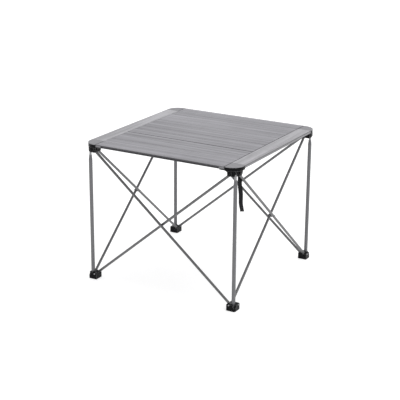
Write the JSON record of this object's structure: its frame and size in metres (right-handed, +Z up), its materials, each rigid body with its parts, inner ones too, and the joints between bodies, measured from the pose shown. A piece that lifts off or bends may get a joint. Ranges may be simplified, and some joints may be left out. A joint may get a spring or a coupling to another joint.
{
  "type": "folding side table",
  "caption": "Square folding side table: an aluminium plank top that lifts off a four-sided scissor frame with telescoping corner legs and black plastic hubs.",
  "frame": {"origin": "on the floor under the middle of the open table", "axes": "+Z up, +X along the planks (left to right seen from the front), +Y from front to back"},
  "size_m": [0.6, 0.6, 0.5],
  "materials": {
    "plank": "brushed grey anodised, fine lengthwise ribs",
    "rail": "brushed grey anodised, fine lengthwise ribs",
    "cap": "fine moulded texture",
    "hub": "satin moulded nylon",
    "leg": "satin grey anodised",
    "rod": "bright drawn",
    "brace": "satin grey anodised",
    "pin": "plated",
    "webbing": "woven nylon webbing"
  },
  "bodies": {
    "foot_unit_fl": {"foot_fl": "hub", "foot_pins_fl": "pin", "leg_tube_fl": "leg"},
    "hub_unit_fl": {"top_hub_fl": "hub", "top_hub_pins_fl": "pin", "leg_rod_fl": "rod"},
    "foot_unit_fr": {"foot_fr": "hub", "foot_pins_fr": "pin", "leg_tube_fr": "leg"},
    "hub_unit_fr": {"top_hub_fr": "hub", "top_hub_pins_fr": "pin", "leg_rod_fr": "rod", "strap": "webbing"},
    "foot_unit_br": {"foot_br": "hub", "foot_pins_br": "pin", "leg_tube_br": "leg"},
    "hub_unit_br": {"top_hub_br": "hub", "top_hub_pins_br": "pin", "leg_rod_br": "rod"},
    "foot_unit_bl": {"foot_bl": "hub", "foot_pins_bl": "pin", "leg_tube_bl": "leg"},
    "hub_unit_bl": {"top_hub_bl": "hub", "top_hub_pins_bl": "pin", "leg_rod_bl": "rod"},
    "front_inner_brace": {"brace_front_inner": "brace", "centre_rivet_front": "pin"},
    "front_outer_brace": {"brace_front_outer": "brace"},
    "right_inner_brace": {"brace_right_inner": "brace", "centre_rivet_right": "pin"},
    "right_outer_brace": {"brace_right_outer": "brace"},
    "back_inner_brace": {"brace_back_inner": "brace"},
    "back_outer_brace": {"brace_back_outer": "brace", "centre_rivet_back": "pin"},
    "left_inner_brace": {"brace_left_inner": "brace"},
    "left_outer_brace": {"brace_left_outer": "brace", "centre_rivet_left": "pin"},
    "table_top": {"plank_01": "plank", "plank_02": "plank", "plank_03": "plank", "plank_04": "plank", "plank_05": "plank", "plank_06": "plank", "plank_07": "plank", "plank_08": "plank", "plank_09": "plank", "plank_10": "plank", "plank_11": "plank", "plank_12": "plank", "side_rail_left": "rail", "side_rail_right": "rail", "corner_cap_fl": "cap", "corner_cap_fr": "cap", "corner_cap_br": "cap", "corner_cap_bl": "cap", "corner_base_fl": "hub", "corner_base_fr": "hub", "corner_base_br": "hub", "corner_base_bl": "hub", "corner_screws": "pin"}
  },
  "joints": [
    {"name": "frame_fold", "type": "hinge", "parent": "foot_unit_fl", "child": "front_inner_brace", "pos_m": [-0.2705, -0.2695, 0.02], "axis": [0, -1, 0], "range_deg": [0, 44.97]},
    {"name": "front_cross", "type": "hinge", "parent": "front_inner_brace", "child": "front_outer_brace", "pos_m": [0, -0.27625, 0.249], "axis": [0, -1, 0], "range_deg": [-89.94, 0]},
    {"name": "hub_fl_pivot", "type": "hinge", "parent": "front_outer_brace", "child": "hub_unit_fl", "pos_m": [-0.2705, -0.283, 0.478], "axis": [0, -1, 0], "range_deg": [0, 44.97]},
    {"name": "foot_fr_pivot", "type": "hinge", "parent": "front_outer_brace", "child": "foot_unit_fr", "pos_m": [0.2705, -0.283, 0.02], "axis": [0, -1, 0], "range_deg": [0, 44.97]},
    {"name": "hub_fr_pivot", "type": "hinge", "parent": "front_inner_brace", "child": "hub_unit_fr", "pos_m": [0.2705, -0.2695, 0.478], "axis": [0, -1, 0], "range_deg": [-44.97, 0]},
    {"name": "right_inner_pivot", "type": "hinge", "parent": "foot_unit_fr", "child": "right_inner_brace", "pos_m": [0.2695, -0.2705, 0.02], "axis": [1, 0, 0], "range_deg": [0, 44.97]},
    {"name": "right_cross", "type": "hinge", "parent": "right_inner_brace", "child": "right_outer_brace", "pos_m": [0.27625, 0, 0.249], "axis": [1, 0, 0], "range_deg": [-89.94, 0]},
    {"name": "hub_br_pivot", "type": "hinge", "parent": "right_inner_brace", "child": "hub_unit_br", "pos_m": [0.2695, 0.2705, 0.478], "axis": [1, 0, 0], "range_deg": [-44.97, 0]},
    {"name": "foot_br_pivot", "type": "hinge", "parent": "right_outer_brace", "child": "foot_unit_br", "pos_m": [0.283, 0.2705, 0.02], "axis": [1, 0, 0], "range_deg": [0, 44.97]},
    {"name": "left_outer_pivot", "type": "hinge", "parent": "foot_unit_fl", "child": "left_outer_brace", "pos_m": [-0.283, -0.2705, 0.02], "axis": [-1, 0, 0], "range_deg": [-44.97, 0]},
    {"name": "left_cross", "type": "hinge", "parent": "left_outer_brace", "child": "left_inner_brace", "pos_m": [-0.27625, 0, 0.249], "axis": [-1, 0, 0], "range_deg": [0, 89.94]},
    {"name": "foot_bl_pivot", "type": "hinge", "parent": "left_inner_brace", "child": "foot_unit_bl", "pos_m": [-0.2695, 0.2705, 0.02], "axis": [-1, 0, 0], "range_deg": [-44.97, 0]},
    {"name": "hub_bl_pivot", "type": "hinge", "parent": "left_outer_brace", "child": "hub_unit_bl", "pos_m": [-0.283, 0.2705, 0.478], "axis": [-1, 0, 0], "range_deg": [0, 44.97]},
    {"name": "back_outer_pivot", "type": "hinge", "parent": "foot_unit_bl", "child": "back_outer_brace", "pos_m": [-0.2705, 0.283, 0.02], "axis": [0, 1, 0], "range_deg": [-44.97, 0]},
    {"name": "back_cross", "type": "hinge", "parent": "back_outer_brace", "child": "back_inner_brace", "pos_m": [0, 0.27625, 0.249], "axis": [0, 1, 0], "range_deg": [0, 89.94]},
    {"name": "top_lift", "type": "slide", "parent": "hub_unit_fl", "child": "table_top", "axis": [0, 0, 1], "range_m": [0, 0.25]}
  ],
  "couplings": [
    {"joint": "front_cross", "follows": "frame_fold", "ratio": -2},
    {"joint": "hub_fl_pivot", "follows": "frame_fold", "ratio": 1},
    {"joint": "foot_fr_pivot", "follows": "frame_fold", "ratio": 1},
    {"joint": "hub_fr_pivot", "follows": "frame_fold", "ratio": -1},
    {"joint": "right_inner_pivot", "follows": "frame_fold", "ratio": 1},
    {"joint": "right_cross", "follows": "frame_fold", "ratio": -2},
    {"joint": "hub_br_pivot", "follows": "frame_fold", "ratio": -1},
    {"joint": "foot_br_pivot", "follows": "frame_fold", "ratio": 1},
    {"joint": "left_outer_pivot", "follows": "frame_fold", "ratio": -1},
    {"joint": "left_cross", "follows": "frame_fold", "ratio": 2},
    {"joint": "foot_bl_pivot", "follows": "frame_fold", "ratio": -1},
    {"joint": "hub_bl_pivot", "follows": "frame_fold", "ratio": 1},
    {"joint": "back_outer_pivot", "follows": "frame_fold", "ratio": -1},
    {"joint": "back_cross", "follows": "frame_fold", "ratio": 2}
  ]
}
